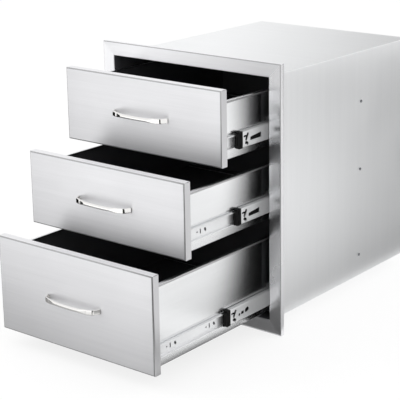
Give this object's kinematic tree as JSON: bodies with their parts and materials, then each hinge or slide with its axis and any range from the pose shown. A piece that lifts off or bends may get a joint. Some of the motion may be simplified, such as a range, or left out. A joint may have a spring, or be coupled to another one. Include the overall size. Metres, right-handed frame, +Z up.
{
  "type": "outdoor kitchen drawer unit",
  "caption": "Built-in stainless steel cabinet for an outdoor kitchen, with a face frame, stacked drawers on telescopic ball slides and bow handles.",
  "frame": {"origin": "on the cabinet's underside, at its middle across, in the plane of the face frame's rear edge, which seats on the wall round the cut-out", "axes": "+X to the right seen from the front, +Y from the face into the cabinet, +Z up"},
  "size_m": [0.48, 0.9322, 0.58],
  "materials": {
    "frame_steel": "brushed stainless, satin",
    "body_steel": "mill stainless, satin",
    "front_steel": "brushed stainless, grain along the width",
    "liner_steel": "plain stainless",
    "tray_steel": "bright rolled stainless",
    "handle_chrome": "polished",
    "rail_zinc": "bright zinc plate",
    "cage_steel": "plain steel",
    "bumper_plastic": "black moulded",
    "rivet_steel": "plain steel"
  },
  "bodies": {
    "cabinet": {"face_frame": "frame_steel", "cabinet_wrap": "body_steel", "cabinet_floor": "body_steel", "cabinet_back": "body_steel", "top_outer_rail_left": "rail_zinc", "top_side_rivet_left": "rivet_steel", "top_outer_rail_right": "rail_zinc", "top_side_rivet_right": "rivet_steel", "middle_outer_rail_left": "rail_zinc", "middle_side_rivet_left": "rivet_steel", "middle_outer_rail_right": "rail_zinc", "middle_side_rivet_right": "rivet_steel", "bottom_outer_rail_left": "rail_zinc", "bottom_side_rivet_left": "rivet_steel", "bottom_outer_rail_right": "rail_zinc", "bottom_side_rivet_right": "rivet_steel"},
    "top_drawer": {"top_front_panel": "front_steel", "top_front_liner": "liner_steel", "top_tray": "tray_steel", "top_handle": "handle_chrome", "top_inner_rail_left": "rail_zinc", "top_inner_rail_right": "rail_zinc"},
    "top_middle_rails": {"top_middle_rail_left": "rail_zinc", "top_middle_rail_right": "rail_zinc", "top_rail_bumper_left": "bumper_plastic", "top_rail_bumper_right": "bumper_plastic"},
    "top_outer_cages": {"top_outer_cage_left": "cage_steel", "top_outer_cage_right": "cage_steel"},
    "top_inner_cages": {"top_inner_cage_left": "cage_steel", "top_inner_cage_right": "cage_steel"},
    "middle_drawer": {"middle_front_panel": "front_steel", "middle_front_liner": "liner_steel", "middle_tray": "tray_steel", "middle_handle": "handle_chrome", "middle_inner_rail_left": "rail_zinc", "middle_inner_rail_right": "rail_zinc"},
    "middle_middle_rails": {"middle_middle_rail_left": "rail_zinc", "middle_middle_rail_right": "rail_zinc", "middle_rail_bumper_left": "bumper_plastic", "middle_rail_bumper_right": "bumper_plastic"},
    "middle_outer_cages": {"middle_outer_cage_left": "cage_steel", "middle_outer_cage_right": "cage_steel"},
    "middle_inner_cages": {"middle_inner_cage_left": "cage_steel", "middle_inner_cage_right": "cage_steel"},
    "bottom_drawer": {"bottom_front_panel": "front_steel", "bottom_front_liner": "liner_steel", "bottom_tray": "tray_steel", "bottom_handle": "handle_chrome", "bottom_inner_rail_left": "rail_zinc", "bottom_inner_rail_right": "rail_zinc"},
    "bottom_middle_rails": {"bottom_middle_rail_left": "rail_zinc", "bottom_middle_rail_right": "rail_zinc", "bottom_rail_bumper_left": "bumper_plastic", "bottom_rail_bumper_right": "bumper_plastic"},
    "bottom_outer_cages": {"bottom_outer_cage_left": "cage_steel", "bottom_outer_cage_right": "cage_steel"},
    "bottom_inner_cages": {"bottom_inner_cage_left": "cage_steel", "bottom_inner_cage_right": "cage_steel"}
  },
  "joints": [
    {"name": "top_rail_slide", "type": "slide", "parent": "cabinet", "child": "top_middle_rails", "axis": [0, -1, 0], "range_m": [-0.127, 0.123]},
    {"name": "top_drawer_slide", "type": "slide", "parent": "top_middle_rails", "child": "top_drawer", "axis": [0, -1, 0], "range_m": [-0.023, 0.227]},
    {"name": "top_outer_cage_roll", "type": "slide", "parent": "cabinet", "child": "top_outer_cages", "axis": [0, -1, 0], "range_m": [-0.0635, 0.0615]},
    {"name": "top_inner_cage_roll", "type": "slide", "parent": "top_middle_rails", "child": "top_inner_cages", "axis": [0, -1, 0], "range_m": [-0.0115, 0.1135]},
    {"name": "middle_rail_slide", "type": "slide", "parent": "cabinet", "child": "middle_middle_rails", "axis": [0, -1, 0], "range_m": [-0.1345, 0.1155]},
    {"name": "middle_drawer_slide", "type": "slide", "parent": "middle_middle_rails", "child": "middle_drawer", "axis": [0, -1, 0], "range_m": [-0.1305, 0.1195]},
    {"name": "middle_outer_cage_roll", "type": "slide", "parent": "cabinet", "child": "middle_outer_cages", "axis": [0, -1, 0], "range_m": [-0.06725, 0.05775]},
    {"name": "middle_inner_cage_roll", "type": "slide", "parent": "middle_middle_rails", "child": "middle_inner_cages", "axis": [0, -1, 0], "range_m": [-0.06525, 0.05975]},
    {"name": "bottom_rail_slide", "type": "slide", "parent": "cabinet", "child": "bottom_middle_rails", "axis": [0, -1, 0], "range_m": [-0.173, 0.077]},
    {"name": "bottom_drawer_slide", "type": "slide", "parent": "bottom_middle_rails", "child": "bottom_drawer", "axis": [0, -1, 0], "range_m": [-0.189, 0.061]},
    {"name": "bottom_outer_cage_roll", "type": "slide", "parent": "cabinet", "child": "bottom_outer_cages", "axis": [0, -1, 0], "range_m": [-0.0865, 0.0385]},
    {"name": "bottom_inner_cage_roll", "type": "slide", "parent": "bottom_middle_rails", "child": "bottom_inner_cages", "axis": [0, -1, 0], "range_m": [-0.0945, 0.0305]}
  ],
  "couplings": [
    {"joint": "top_outer_cage_roll", "follows": "top_rail_slide", "ratio": 0.5},
    {"joint": "top_inner_cage_roll", "follows": "top_drawer_slide", "ratio": 0.5},
    {"joint": "middle_outer_cage_roll", "follows": "middle_rail_slide", "ratio": 0.5},
    {"joint": "middle_inner_cage_roll", "follows": "middle_drawer_slide", "ratio": 0.5},
    {"joint": "bottom_outer_cage_roll", "follows": "bottom_rail_slide", "ratio": 0.5},
    {"joint": "bottom_inner_cage_roll", "follows": "bottom_drawer_slide", "ratio": 0.5}
  ]
}
